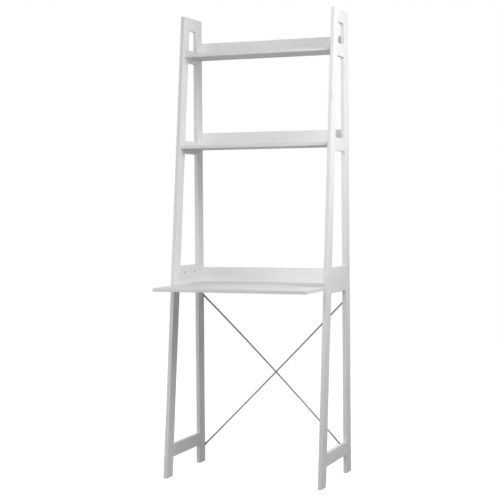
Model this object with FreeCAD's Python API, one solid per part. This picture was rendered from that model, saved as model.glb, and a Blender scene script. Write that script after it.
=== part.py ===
import FreeCAD, Part
import math
import os

# Ladder desk: two leaning side frames that carry two shelves and a desk top.
# Each side frame is an upper ladder frame bolted onto a lower leg frame.
# Millimetres. +X is to the right, +Y to the back and +Z up. The origin is on the
# floor, at the middle of the desk's own box.

Vector = FreeCAD.Vector

# --- overall sizes -----------------------------------------------------------
overall_width = 640.0
overall_height = 1800.0
foot_depth = 377.5  # front of the front leg to the back of the frame, at the floor
head_depth = 171.0  # the same, at the top
desk_reach = 493.0  # front edge of the desk top to the back of the frame

# --- side frames -------------------------------------------------------------
frame_thickness = 16.0
stile_width = 53.0
upper_rail_height = 50.0
lower_rail_height = 48.0
stretcher_bottom = 74.0
split_height = 763.0  # where the upper frame stands on the lower one
arris_radius = 1.2  # rounding of the frame's edges
outer_skin = 3.5  # wood left between a blind hole and the frame's outer face

# --- boards ------------------------------------------------------------------
shelf_thickness = 12.7
desk_thickness = 12.7
desk_level_in_rail = 19.0  # mid-plane of the desk top above the desk rail's bottom
top_shelf_drop = 155.5  # mid-plane of the top shelf below the top of the frames
shelf_spacing = 364.5  # mid-plane of the middle shelf below that of the top shelf
shelf_recess = 13.0  # shelf front edge behind the front of the stile
board_edge_radius = 1.0
desk_corner_radius = 3.0

# --- back rails --------------------------------------------------------------
back_rail_thickness = 16.0
back_rail_inset = 3.0  # behind it, to the back of the frame
back_rail_rise = 57.0  # above the board it guards
back_rail_lift = 0.7  # its lower edge above the board's underside
back_rail_dowel_rise = 38.0  # above the board, the dowel at each end of the rail
back_rail_screw_spacing = 200.0
back_rail_screw_count = 3

# --- glued dowels ------------------------------------------------------------
dowel_diameter = 6.0
dowel_length = 30.0
dowel_chamfer = 0.8
dowel_edge_distance = 8.5  # a frame dowel's axis from the edge of its rail
glue_gap = 0.1  # round a dowel
dowel_end_gap = 0.5  # past each end of a dowel

# --- bolts that join the upper and the lower frame ---------------------------
frame_bolt_diameter = 6.0
frame_bolt_head_diameter = 10.4
frame_bolt_head_height = 3.4
frame_bolt_socket_width = 4.0  # across the flats of the hexagon socket
frame_bolt_socket_depth = 2.2
frame_bolt_counterbore = 9.0
frame_bolt_end_past_nut = 3.0
frame_bolt_inset = 41.0  # from each end of the desk rail
barrel_nut_diameter = 10.0
barrel_nut_rise = 22.0  # its axis above the split
barrel_nut_sink = 0.6  # its end below the frame's inner face
barrel_nut_slot_width = 1.6
barrel_nut_slot_depth = 1.5
bolt_clearance = 0.2

# --- cam fittings that hold the boards ---------------------------------------
cam_diameter = 12.0
cam_cap = 3.15  # of the cam above its bolt's axis
cam_setback = 24.0  # its axis from the end of the board
cam_slot_width = 4.6
cam_cavity_diameter = 8.0
cam_cavity_height = 4.2
cam_clearance = 0.1
cam_recess_length = 7.0
cam_recess_width = 1.5
cam_recess_depth = 1.6
cam_bolt_thread_diameter = 5.0
cam_bolt_shank_diameter = 4.0
cam_bolt_neck_diameter = 2.8
cam_bolt_neck_length = 5.0
cam_bolt_head_diameter = 3.9
cam_bolt_head_length = 2.0
fixing_inset = 30.0  # a shelf's cams from its front and back edges
desk_dowel_shift = 24.0  # a desk dowel beyond the nearest frame bolt

# --- crossed brace rods ------------------------------------------------------
rod_diameter = 7.0
rod_upper_drop = 28.5  # upper rod end below the desk rail
rod_lower_height = 61.0
inner_rod_bow = 12.5  # how far its middle bends away from the frame
rod_crossing_gap = 0.5
rod_taper_length = 12.0  # from the flat part to the round rod
eye_diameter = 13.0
eye_thickness = 2.4
eye_hole_diameter = 4.6
eye_tab_length = 8.0  # flat part of the rod, from the eye's centre
eye_tab_width = 9.5

# --- wood screws -------------------------------------------------------------
brace_screw_diameter = 4.0
brace_screw_length = 22.0
brace_screw_head_diameter = 8.0
brace_screw_head_height = 2.7
rail_screw_diameter = 3.5
rail_screw_length = 42.0
rail_screw_head_diameter = 7.0
rail_screw_head_height = 2.3
screw_point_length = 5.0
screw_point_radius = 0.4
screw_clearance = 0.1
screw_recess_length = 4.4
screw_recess_width = 1.0
screw_recess_depth = 1.5

# --- worked out from the sizes above -----------------------------------------
past = 5.0  # how far a cutting shape runs past what it cuts
close = 0.01  # two coordinates nearer than this are the same
hexagon_sides = 6
outer_rod_bow = inner_rod_bow + rod_diameter + rod_crossing_gap
brace_reach = outer_rod_bow + rod_diameter  # rods behind the frame
back = 0.5 * (desk_reach - brace_reach)  # the back of the side frames
inner_x = 0.5 * overall_width - frame_thickness
frame_mid_x = inner_x + 0.5 * frame_thickness
blind_depth = frame_thickness - outer_skin
barrel_nut_length = blind_depth - barrel_nut_sink
board_dowel_depth = blind_depth - dowel_end_gap
stretcher_top = stretcher_bottom + lower_rail_height
desk_rail_bottom = split_height - lower_rail_height
desk_level = desk_rail_bottom + desk_level_in_rail
base_rail_top = split_height + lower_rail_height
top_shelf_level = overall_height - top_shelf_drop
middle_shelf_level = top_shelf_level - shelf_spacing
top_rail_bottom = overall_height - upper_rail_height
board_back = back - back_rail_inset - back_rail_thickness
back_rail_mid_y = board_back + 0.5 * back_rail_thickness
rod_upper_height = desk_rail_bottom - rod_upper_drop

SIDES = {"left": -1, "right": 1}

UPPER_RAILS = {
    "upper_base_rail": (split_height, base_rail_top),
    "middle_shelf_rail": (
        middle_shelf_level - 0.5 * upper_rail_height,
        middle_shelf_level + 0.5 * upper_rail_height,
    ),
    "upper_shelf_rail": (
        top_shelf_level - 0.5 * upper_rail_height,
        top_shelf_level + 0.5 * upper_rail_height,
    ),
    "top_rail": (top_rail_bottom, overall_height),
}
LOWER_RAILS = {
    "stretcher": (stretcher_bottom, stretcher_top),
    "desk_rail": (desk_rail_bottom, split_height),
}


def front(z):
    """Y of the leaning front edge of the side frame at height z."""
    depth = foot_depth + (head_depth - foot_depth) * z / overall_height
    return back - depth


def stile_back(z):
    """Y of the back edge of the front stile at height z."""
    return front(z) + stile_width


def slab(corners, rise):
    """A solid with a flat outline through its corners, extruded by a vector."""
    outline = Part.makePolygon(corners + corners[:1])
    return Part.Face(outline).extrude(rise)


def prism(profile, x_low, x_high):
    """A solid with a profile of (y, z) corners, from x_low to x_high."""
    corners = [Vector(x_low, y, z) for y, z in profile]
    return slab(corners, Vector(x_high - x_low, 0, 0))


def block(low, high):
    """A box between two corners."""
    size = [b - a for a, b in zip(low, high)]
    return Part.makeBox(*size, Vector(*low))


def cylinder(diameter, start, end):
    """A round bar from one point to another."""
    axis = Vector(*end) - Vector(*start)
    return Part.makeCylinder(0.5 * diameter, axis.Length, Vector(*start), axis)


def joined(shapes):
    """Several touching shapes as one solid, without seams."""
    whole = shapes[0]
    for shape in shapes[1:]:
        whole = whole.fuse(shape)
    return whole.removeSplitter()


def drilled(shape, cutters):
    """A shape with every cutter taken out of it."""
    for cutter in cutters:
        shape = shape.cut(cutter)
    return shape


# --- side frames -------------------------------------------------------------
def opening(z_low, z_high):
    """Profile of the gap between the two stiles from z_low to z_high."""
    inside = back - stile_width
    return [
        (stile_back(z_low), z_low),
        (inside, z_low),
        (inside, z_high),
        (stile_back(z_high), z_high),
    ]


def frame_blank(z_low, z_high, gaps):
    """One half of a side frame in one piece, with its edges rounded."""
    outline = [(front(z_low), z_low), (back, z_low), (back, z_high), (front(z_high), z_high)]
    blank = prism(outline, 0, frame_thickness)
    for gap_low, gap_high in gaps:
        blank = blank.cut(prism(opening(gap_low, gap_high), -past, frame_thickness + past))
    rounded = []
    for edge in blank.Edges:
        box = edge.BoundBox
        in_side_face = box.XLength < close
        on_split = box.ZLength < close and abs(box.ZMin - split_height) < close
        if in_side_face and not on_split:
            rounded.append(edge)
    return blank.makeFillet(arris_radius, rounded)


def stile_region(z_low, z_high, at_front):
    """A prism that takes one stile out of a frame blank."""
    if at_front:
        corners = [
            (front(z_low) - past, z_low),
            (stile_back(z_low), z_low),
            (stile_back(z_high), z_high),
            (front(z_high) - past, z_high),
        ]
    else:
        inside = back - stile_width
        corners = [(inside, z_low), (back + past, z_low), (back + past, z_high), (inside, z_high)]
    return prism(corners, -past, frame_thickness + past)


def rail_region(z_low, z_high):
    """A prism that takes one rail out of a frame blank."""
    return prism(opening(z_low, z_high), -past, frame_thickness + past)


def gaps_between(rails, z_low):
    """The heights of the gaps under each rail, from z_low up."""
    gaps = []
    floor = z_low
    for rail_low, rail_high in sorted(rails.values()):
        if rail_low > floor:
            gaps.append((floor, rail_low))
        floor = rail_high
    return gaps


def frame_members(posts, rails, z_low, z_high):
    """The two posts and the rails of one frame half, from x = 0 outwards."""
    blank = frame_blank(z_low, z_high, gaps_between(rails, z_low))
    front_post, rear_post = posts
    members = {
        front_post: blank.common(stile_region(z_low, z_high, True)),
        rear_post: blank.common(stile_region(z_low, z_high, False)),
    }
    for name, (rail_low, rail_high) in rails.items():
        members[name] = blank.common(rail_region(rail_low, rail_high))
    return members


# --- dowels ------------------------------------------------------------------
def dowel(centre, axis):
    """One plain dowel with chamfered ends, centred on a point."""
    half = Vector(*axis) * (0.5 * dowel_length)
    pin = cylinder(dowel_diameter, Vector(*centre) - half, Vector(*centre) + half)
    ends = [edge for edge in pin.Edges if edge.isClosed()]
    return pin.makeChamfer(dowel_chamfer, ends)


def dowel_hole(centre, axis):
    """The hole that a dowel is glued into."""
    half = Vector(*axis) * (0.5 * dowel_length + dowel_end_gap)
    diameter = dowel_diameter + 2 * glue_gap
    return cylinder(diameter, Vector(*centre) - half, Vector(*centre) + half)


def rail_dowel_centres(side, rails):
    """Centres of the dowels at both ends of each rail of one frame half."""
    centres = []
    for rail_low, rail_high in rails.values():
        for z in (rail_low + dowel_edge_distance, rail_high - dowel_edge_distance):
            for y in (stile_back(z), back - stile_width):
                centres.append((side * frame_mid_x, y, z))
    return centres


def split_dowel_centres(side):
    """Centres of the upright dowels between the two frame halves."""
    places = (front(split_height) + 0.5 * stile_width, back - 0.5 * stile_width)
    return [(side * frame_mid_x, y, split_height) for y in places]


# --- bolts and barrel nuts between the frame halves --------------------------
def hexagon(width_across_flats, depth, centre):
    """A six-sided prism that goes up from its centre."""
    radius = width_across_flats / math.sqrt(3)
    corners = []
    for step in range(hexagon_sides):
        angle = math.tau * step / hexagon_sides
        corners.append(centre + Vector(radius * math.cos(angle), radius * math.sin(angle), 0))
    return slab(corners, Vector(0, 0, depth))


def frame_bolt_places():
    """Y of the bolts of one side frame, the front one first."""
    return (stile_back(split_height) + frame_bolt_inset, back - stile_width - frame_bolt_inset)


def frame_bolt_heights():
    """Heights of a frame bolt's seat, under its head, and of its tip."""
    nut_top = split_height + barrel_nut_rise + 0.5 * barrel_nut_diameter
    return desk_rail_bottom + frame_bolt_counterbore, nut_top + frame_bolt_end_past_nut


def frame_bolt(side, y):
    """A socket-head bolt, from its counterbore up through the barrel nut."""
    x = side * frame_mid_x
    seat, tip = frame_bolt_heights()
    head_low = seat - frame_bolt_head_height
    shank = cylinder(frame_bolt_diameter, (x, y, seat), (x, y, tip))
    head = cylinder(frame_bolt_head_diameter, (x, y, head_low), (x, y, seat))
    socket = hexagon(frame_bolt_socket_width, frame_bolt_socket_depth, Vector(x, y, head_low))
    return joined([shank, head]).cut(socket)


def frame_bolt_cutters(side, y):
    """Clearance hole and counterbore for one frame bolt."""
    x = side * frame_mid_x
    seat, tip = frame_bolt_heights()
    hole_diameter = frame_bolt_diameter + 2 * bolt_clearance
    hole = cylinder(hole_diameter, (x, y, seat - past), (x, y, tip + bolt_clearance))
    bore_diameter = frame_bolt_head_diameter + 2 * bolt_clearance
    counterbore = cylinder(bore_diameter, (x, y, desk_rail_bottom - past), (x, y, seat))
    return [hole, counterbore]


def barrel_nut(side, y):
    """A cross-drilled nut that lies across the frame, slotted at its mouth."""
    z = split_height + barrel_nut_rise
    mouth = side * (inner_x + barrel_nut_sink)
    blind = mouth + side * barrel_nut_length
    body = cylinder(barrel_nut_diameter, (mouth, y, z), (blind, y, z))
    x = side * frame_mid_x
    reach = barrel_nut_diameter
    thread = cylinder(frame_bolt_diameter, (x, y, z - reach), (x, y, z + reach))
    slot_end = mouth + side * barrel_nut_slot_depth
    slot = block(
        (min(mouth, slot_end), y - reach, z - 0.5 * barrel_nut_slot_width),
        (max(mouth, slot_end), y + reach, z + 0.5 * barrel_nut_slot_width),
    )
    return body.cut(thread).cut(slot)


def barrel_nut_hole(side, y):
    """The hole for a barrel nut, open at the frame's inner face."""
    z = split_height + barrel_nut_rise
    mouth = side * (inner_x - past)
    blind = side * (inner_x + blind_depth)
    return cylinder(barrel_nut_diameter + 2 * glue_gap, (mouth, y, z), (blind, y, z))


# --- boards and their cam fittings -------------------------------------------
def board(item):
    """A flat board between the side frames, rounded but at its back edge."""
    plate = block((-inner_x, item.y_front, item.bottom), (inner_x, board_back, item.top))
    if item.corner_radius > 0:
        corners = []
        for edge in plate.Edges:
            box = edge.BoundBox
            if box.ZLength > close and abs(box.YMin - item.y_front) < close:
                corners.append(edge)
        plate = plate.makeFillet(item.corner_radius, corners)
    rims = []
    for edge in plate.Edges:
        box = edge.BoundBox
        if box.ZLength < close and box.YMin < board_back - close:
            rims.append(edge)
    return plate.makeFillet(board_edge_radius, rims)


class Board:
    """Sizes of one board and where its fittings go along its ends."""

    def __init__(self, y_front, level, thickness, corner_radius, cam_places, dowel_places):
        self.y_front = y_front
        self.corner_radius = corner_radius
        self.cam_places = cam_places
        self.dowel_places = dowel_places
        self.level = level
        self.top = level + 0.5 * thickness
        self.bottom = level - 0.5 * thickness
        self.cam_top = level + cam_cap
        self.rail_bottom = self.bottom + back_rail_lift
        self.rail_top = self.top + back_rail_rise


def shelf(level):
    """A shelf with a cam near each edge and a dowel between them."""
    y_front = front(level) + shelf_recess
    cams = (y_front + fixing_inset, board_back - fixing_inset)
    return Board(y_front, level, shelf_thickness, 0, cams, (0.5 * sum(cams),))


def desk():
    """The desk top, with its cams and dowels clear of the frame bolts."""
    front_bolt, rear_bolt = frame_bolt_places()
    front_cam = front(desk_level) + 0.5 * stile_width
    cams = (front_cam, 0.5 * (front_bolt + rear_bolt), board_back - fixing_inset)
    dowels = (front_bolt - desk_dowel_shift, rear_bolt + desk_dowel_shift)
    return Board(back - desk_reach, desk_level, desk_thickness, desk_corner_radius, cams, dowels)


BOARDS = {
    "top_shelf": shelf(top_shelf_level),
    "middle_shelf": shelf(middle_shelf_level),
    "desk_top": desk(),
}
BACK_RAILS = {
    "top_shelf": "top_back_rail",
    "middle_shelf": "middle_back_rail",
    "desk_top": "desk_back_rail",
}


def cam_bolt(side, y, z):
    """A cam bolt: thread in the frame, neck and round head in the cam."""
    cam_x = inner_x - cam_setback
    head_end = cam_x - 0.5 * cam_bolt_head_length
    head_start = head_end + cam_bolt_head_length
    neck_start = head_start + cam_bolt_neck_length
    stations = [
        (cam_bolt_thread_diameter, inner_x + blind_depth - dowel_end_gap, inner_x),
        (cam_bolt_shank_diameter, inner_x, neck_start),
        (cam_bolt_neck_diameter, neck_start, head_start),
        (cam_bolt_head_diameter, head_start, head_end),
    ]
    bars = [cylinder(d, (side * a, y, z), (side * b, y, z)) for d, a, b in stations]
    return joined(bars)


def cam_bolt_frame_hole(side, y, z):
    """The hole in the frame that a cam bolt is screwed into."""
    mouth = side * (inner_x - past)
    blind = side * (inner_x + blind_depth)
    return cylinder(cam_bolt_thread_diameter, (mouth, y, z), (blind, y, z))


def cam_bolt_board_hole(side, y, z):
    """The hole in a board's end that a cam bolt's shank lies in."""
    inside = side * (inner_x - cam_setback)
    outside = side * (inner_x + past)
    diameter = cam_bolt_shank_diameter + 2 * bolt_clearance
    return cylinder(diameter, (inside, y, z), (outside, y, z))


def cam(side, y, item):
    """A cam, set into the underside of a board round its bolt's head."""
    x = side * (inner_x - cam_setback)
    z = item.level
    body = cylinder(cam_diameter, (x, y, item.bottom), (x, y, item.cam_top))
    cavity = cylinder(
        cam_cavity_diameter,
        (x, y, z - 0.5 * cam_cavity_height),
        (x, y, z + 0.5 * cam_cavity_height),
    )
    outside = x + side * cam_diameter
    slot = block(
        (min(x, outside), y - 0.5 * cam_slot_width, z - 0.5 * cam_slot_width),
        (max(x, outside), y + 0.5 * cam_slot_width, z + 0.5 * cam_slot_width),
    )
    recess_size = (cam_recess_length, cam_recess_width, cam_recess_depth)
    recess = cross_recess(Vector(x, y, item.bottom), Vector(0, 0, 1), recess_size)
    return drilled(body, [cavity, slot] + recess)


def cam_hole(side, y, item):
    """The blind hole for a cam, open at the underside of a board."""
    x = side * (inner_x - cam_setback)
    diameter = cam_diameter + 2 * cam_clearance
    return cylinder(diameter, (x, y, item.bottom - past), (x, y, item.cam_top))


def cross_recess(centre, inwards, size):
    """Two crossed slots for a screwdriver; size is (length, width, depth)."""
    length, width, depth = size
    along = Vector(1, 0, 0)
    across = inwards.cross(along)
    start = centre - inwards * past
    slots = []
    for u, v in ((along, across), (across, along)):
        u = u * (0.5 * length)
        v = v * (0.5 * width)
        corners = [start - u - v, start + u - v, start + u + v, start - u + v]
        slots.append(slab(corners, inwards * (past + depth)))
    return slots


def board_dowel_centre(side, y, z):
    """Centre of a board dowel, part of it in the frame and part in the board."""
    return (side * (inner_x + board_dowel_depth - 0.5 * dowel_length), y, z)


def back_rail_dowel_centre(side, item):
    """Centre of the dowel at one end of a back rail."""
    return board_dowel_centre(side, back_rail_mid_y, item.top + back_rail_dowel_rise)


def back_rail(item):
    """The upright strip along the back edge of a board."""
    strip = block(
        (-inner_x, board_back, item.rail_bottom),
        (inner_x, board_back + back_rail_thickness, item.rail_top),
    )
    rims = [e for e in strip.Edges if e.BoundBox.XLength > inner_x]
    return strip.makeFillet(board_edge_radius, rims)


# --- wood screws -------------------------------------------------------------
def wood_screw(head, diameter, length, seat, head_top):
    """A screw that goes in along -Y: a head, a shank from its seat, a recess."""
    inwards = Vector(0, -1, 0)
    body_length = length - screw_point_length
    shank = Part.makeCylinder(0.5 * diameter, body_length, seat, inwards)
    neck = seat + inwards * body_length
    point = Part.makeCone(0.5 * diameter, screw_point_radius, screw_point_length, neck, inwards)
    recess_size = (screw_recess_length, screw_recess_width, screw_recess_depth)
    return drilled(joined([head, shank, point]), cross_recess(head_top, inwards, recess_size))


def countersink(diameter, shank_diameter, height, face):
    """A cone that narrows along -Y from a face, for a head or its seat."""
    return Part.makeCone(0.5 * diameter, 0.5 * shank_diameter, height, face, Vector(0, -1, 0))


def rail_screw_places():
    """X of the screws along a back rail."""
    first = -0.5 * back_rail_screw_spacing * (back_rail_screw_count - 1)
    return [first + back_rail_screw_spacing * step for step in range(back_rail_screw_count)]


def rail_screw_face(x, item):
    """Where a back rail screw's head lies, on the rail's rear face."""
    return Vector(x, board_back + back_rail_thickness, item.level)


def rail_screw(x, item):
    """A countersunk screw through a back rail into the board's back edge."""
    face = rail_screw_face(x, item)
    head = countersink(rail_screw_head_diameter, rail_screw_diameter, rail_screw_head_height, face)
    seat = face - Vector(0, rail_screw_head_height, 0)
    length = rail_screw_length - rail_screw_head_height
    return wood_screw(head, rail_screw_diameter, length, seat, face)


def rail_screw_cutters(x, item):
    """Countersink and hole for a back rail screw, through rail and board."""
    face = rail_screw_face(x, item)
    widened = 2 * screw_clearance
    hole_diameter = rail_screw_diameter + widened
    seat = countersink(rail_screw_head_diameter + widened, hole_diameter, rail_screw_head_height, face)
    tip = face - Vector(0, rail_screw_length + screw_clearance, 0)
    return [seat, cylinder(hole_diameter, face, tip)]


def brace_ends():
    """Eye centres of the two rods, as (falling, rising), each left to right."""
    left, right = -frame_mid_x, frame_mid_x
    falling = (Vector(left, back, rod_upper_height), Vector(right, back, rod_lower_height))
    rising = (Vector(left, back, rod_lower_height), Vector(right, back, rod_upper_height))
    return falling, rising


def brace_screw(eye):
    """A pan-head screw through a rod's eye into the edge of a rear leg."""
    seat = eye + Vector(0, eye_thickness, 0)
    head_top = seat + Vector(0, brace_screw_head_height, 0)
    head = cylinder(brace_screw_head_diameter, seat, head_top)
    rim = [e for e in head.Edges if e.isClosed() and abs(e.BoundBox.YMin - head_top.y) < close]
    head = head.makeFillet(0.5 * brace_screw_head_height, rim)
    return wood_screw(head, brace_screw_diameter, brace_screw_length, seat, head_top)


def brace_screw_hole(eye):
    """The pilot hole for a brace screw."""
    tip = eye + Vector(0, eye_thickness - brace_screw_length - screw_clearance, 0)
    return cylinder(brace_screw_diameter + 2 * screw_clearance, eye + Vector(0, past, 0), tip)


# --- crossed brace rods ------------------------------------------------------
def flattened_end(eye, along, tilt):
    """The flat eye at a rod's end, and the wedge from it to the tilted round rod."""
    normal = Vector(0, 1, 0)
    across = normal.cross(along) * (0.5 * eye_tab_width)
    rise = normal * eye_thickness
    neck = eye + along * eye_tab_length
    disc = cylinder(eye_diameter, eye, eye + rise)
    tab = slab([eye - across, neck - across, neck + across, eye + across], rise)
    flat = [neck - across, neck + across, neck + across + rise, neck - across + rise]
    centre = neck + along * rod_taper_length + normal * (0.5 * rod_diameter)
    outwards = along * math.cos(tilt) + normal * math.sin(tilt)
    circle = Part.Wire([Part.makeCircle(0.5 * rod_diameter, centre, outwards)])
    wedge = Part.makeLoft([Part.makePolygon(flat + flat[:1]), circle], True)
    bar_end = Part.Face(circle)
    return [disc, tab, wedge], bar_end


def brace_rod(eyes, bow):
    """One rod, bent to an arc away from the frame, with an eye at each end."""
    first, last = eyes
    along = (last - first).normalize()
    normal = Vector(0, 1, 0)
    half_chord = 0.5 * (last - first).Length - eye_tab_length - rod_taper_length
    radius = 0.5 * (half_chord**2 / bow + bow)
    tilt = math.asin(half_chord / radius)
    first_end, bar_end = flattened_end(first, along, tilt)
    last_end, _ = flattened_end(last, -along, tilt)
    arc_height = 0.5 * rod_diameter + bow - radius
    arc_centre = (first + last) * 0.5 + normal * arc_height
    bar = bar_end.revolve(arc_centre, normal.cross(along), math.degrees(2 * tilt))
    whole = joined([bar] + first_end + last_end)
    over = normal * past
    return drilled(whole, [cylinder(eye_hole_diameter, eye - over, eye + over) for eye in eyes])


# --- the whole desk ----------------------------------------------------------
def build_side(name, side, nodes):
    """One side frame: its members, dowels, bolts and nuts."""
    upper_posts = ("upper_front_stile", "upper_rear_stile")
    upper = frame_members(upper_posts, UPPER_RAILS, split_height, overall_height)
    lower = frame_members(("front_leg", "rear_leg"), LOWER_RAILS, 0, split_height)
    x_low = min(side * inner_x, side * 0.5 * overall_width)

    across = (0, 1, 0)
    upright = (0, 0, 1)
    sideways = (1, 0, 0)
    upper_centres = rail_dowel_centres(side, UPPER_RAILS)
    lower_centres = rail_dowel_centres(side, LOWER_RAILS)
    split_centres = split_dowel_centres(side)

    dowel_cutters = [dowel_hole(c, across) for c in upper_centres + lower_centres]
    dowel_cutters += [dowel_hole(c, upright) for c in split_centres]
    bolt_cutters = []
    for y in frame_bolt_places():
        bolt_cutters += frame_bolt_cutters(side, y)
        bolt_cutters.append(barrel_nut_hole(side, y))
    fitting_cutters = []
    for item in BOARDS.values():
        fitting_cutters += [cam_bolt_frame_hole(side, y, item.level) for y in item.cam_places]
        for y in item.dowel_places:
            fitting_cutters.append(dowel_hole(board_dowel_centre(side, y, item.level), sideways))
        fitting_cutters.append(dowel_hole(back_rail_dowel_centre(side, item), sideways))
    brace_cutters = []
    for eyes in brace_ends():
        for eye in eyes:
            if eye.x * side > 0:
                brace_cutters.append(brace_screw_hole(eye))

    cutters = Part.makeCompound(dowel_cutters + bolt_cutters + fitting_cutters + brace_cutters)
    for member, shape in {**upper, **lower}.items():
        shape.translate(Vector(x_low, 0, 0))
        nodes[f"{name}_{member}"] = shape.cut(cutters)

    nodes[f"{name}_upper_frame_dowels"] = [dowel(c, across) for c in upper_centres]
    nodes[f"{name}_lower_frame_dowels"] = [dowel(c, across) for c in lower_centres]
    nodes[f"{name}_split_dowels"] = [dowel(c, upright) for c in split_centres]
    nodes[f"{name}_frame_bolts"] = [frame_bolt(side, y) for y in frame_bolt_places()]
    nodes[f"{name}_barrel_nuts"] = [barrel_nut(side, y) for y in frame_bolt_places()]


def build_board(name, item, nodes):
    """One board with its back rail, cams, cam bolts, dowels and screws."""
    sideways = (1, 0, 0)
    plate = board(item)
    rail = back_rail(item)
    cams = []
    bolts = []
    dowels = []
    board_cutters = []
    rail_cutters = []
    for side in SIDES.values():
        for y in item.cam_places:
            cams.append(cam(side, y, item))
            bolts.append(cam_bolt(side, y, item.level))
            board_cutters.append(cam_hole(side, y, item))
            board_cutters.append(cam_bolt_board_hole(side, y, item.level))
        for y in item.dowel_places:
            centre = board_dowel_centre(side, y, item.level)
            dowels.append(dowel(centre, sideways))
            board_cutters.append(dowel_hole(centre, sideways))
        centre = back_rail_dowel_centre(side, item)
        dowels.append(dowel(centre, sideways))
        rail_cutters.append(dowel_hole(centre, sideways))
    screws = []
    for x in rail_screw_places():
        screws.append(rail_screw(x, item))
        rail_cutters += rail_screw_cutters(x, item)
        board_cutters += rail_screw_cutters(x, item)
    nodes[name] = drilled(plate, board_cutters)
    nodes[BACK_RAILS[name]] = drilled(rail, rail_cutters)
    nodes[f"{name}_cams"] = cams
    nodes[f"{name}_cam_bolts"] = bolts
    nodes[f"{name}_dowels"] = dowels
    nodes[f"{BACK_RAILS[name]}_screws"] = screws


def build_braces(nodes):
    """The crossed rods behind the legs and the screws that hold them."""
    falling, rising = brace_ends()
    nodes["falling_brace_rod"] = brace_rod(falling, outer_rod_bow)
    nodes["rising_brace_rod"] = brace_rod(rising, inner_rod_bow)
    nodes["brace_screws"] = [brace_screw(eye) for eye in falling + rising]


def main():
    """Builds every node and writes it to its own file."""
    nodes = {}
    for name, side in SIDES.items():
        build_side(name, side, nodes)
    for name, item in BOARDS.items():
        build_board(name, item, nodes)
    build_braces(nodes)
    os.makedirs("parts", exist_ok=True)
    for name, shape in nodes.items():
        whole = Part.makeCompound(shape) if isinstance(shape, list) else shape
        whole.exportStep(f"parts/{name}.step")
        print(name, len(whole.Solids), round(whole.Volume), whole.isValid())


main()
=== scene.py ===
"""A white ladder desk: leaning side frames, two shelves, a desk top and crossed rods.

Lengths are metres unless a name ends in _mm. +X is to the right, +Y to the back, +Z up.
"""

import logging
import math
from dataclasses import dataclass, field
from enum import Enum
from functools import partial
from typing import Any, Callable, Iterable, Sequence

import bpy
from mathutils import Matrix, Vector


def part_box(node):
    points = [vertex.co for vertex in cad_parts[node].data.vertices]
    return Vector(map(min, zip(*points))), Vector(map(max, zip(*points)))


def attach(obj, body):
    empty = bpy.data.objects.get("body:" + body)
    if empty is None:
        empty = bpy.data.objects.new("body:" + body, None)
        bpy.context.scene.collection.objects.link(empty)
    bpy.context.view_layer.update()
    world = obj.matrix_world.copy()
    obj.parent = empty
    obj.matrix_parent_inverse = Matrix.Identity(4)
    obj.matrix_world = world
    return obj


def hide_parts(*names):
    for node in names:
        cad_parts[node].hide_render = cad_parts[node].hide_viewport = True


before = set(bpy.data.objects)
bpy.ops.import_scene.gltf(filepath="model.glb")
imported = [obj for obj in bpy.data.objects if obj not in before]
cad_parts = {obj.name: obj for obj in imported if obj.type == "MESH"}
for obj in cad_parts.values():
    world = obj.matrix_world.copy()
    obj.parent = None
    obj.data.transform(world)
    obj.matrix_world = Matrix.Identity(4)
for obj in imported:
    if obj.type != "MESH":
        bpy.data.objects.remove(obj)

log = logging.getLogger("ladder_desk")

BODY = "root"
MM = 0.001
QUARTER_TURN = 0.5 * math.pi

Triple = tuple[float, float, float]
NodeAdder = Callable[..., bpy.types.Node]
ZEROS: Triple = (0.0, 0.0, 0.0)
HALVES: Triple = (0.5, 0.5, 0.5)
ONES: Triple = (1.0, 1.0, 1.0)

# Kinds and settings of the nodes that come up most.
MATH = "ShaderNodeMath"
VECTOR = "ShaderNodeVectorMath"
SEPARATE = "ShaderNodeSeparateXYZ"
COMBINE = "ShaderNodeCombineXYZ"
MIX = "ShaderNodeMix"
NOISE = "ShaderNodeTexNoise"
MAP_RANGE = "ShaderNodeMapRange"
BUMP = "ShaderNodeBump"
POSITION = "GeometryNodeInputPosition"
SET_POSITION = "GeometryNodeSetPosition"
TRANSFORM = "GeometryNodeTransform"
CYLINDER = "GeometryNodeMeshCylinder"
BOOLEAN = "GeometryNodeMeshBoolean"
CUT_AWAY = {"operation": "DIFFERENCE", "solver": "EXACT"}
POINT_FLOAT = {"data_type": "FLOAT", "domain": "POINT"}

# How finely round meshes are divided, and how near two points are one.
HEAD_SIDES = 40
HEAD_SIDE_ROWS = 3
HEAD_TOP_RINGS = 5
SHANK_SIDES = 24
HOLE_SIDES = 40
EYE_HOLE_SIDES = 32
HEXAGON_SIDES = 6
DOME_POWER = 3.0  # how suddenly a domed head falls away towards its rim
WELD = 0.01 * MM
ROD_WELD = 0.02 * MM

# Attributes of a rod's line: half its width, half its height, and what squares it.
ROD_SECTION = ("half_width", "half_height", "power")


# --- small helpers -----------------------------------------------------------
def linear(hex_colour: str) -> tuple[float, float, float, float]:
    """Turn an sRGB hex colour into the linear colour that a shader takes.

    Args:
        hex_colour: six hex digits after a hash sign.

    Returns:
        Linear red, green and blue, and an alpha of one.
    """
    values = [int(hex_colour[start:start + 2], 16) / 255 for start in (1, 3, 5)]
    red, green, blue = (v / 12.92 if v <= 0.04045 else ((v + 0.055) / 1.055) ** 2.4 for v in values)
    return red, green, blue, 1.0


def per_metre(length_mm: float) -> float:
    """Give how often a length in millimetres fits into a metre."""
    return 1.0 / (length_mm * MM)


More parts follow.
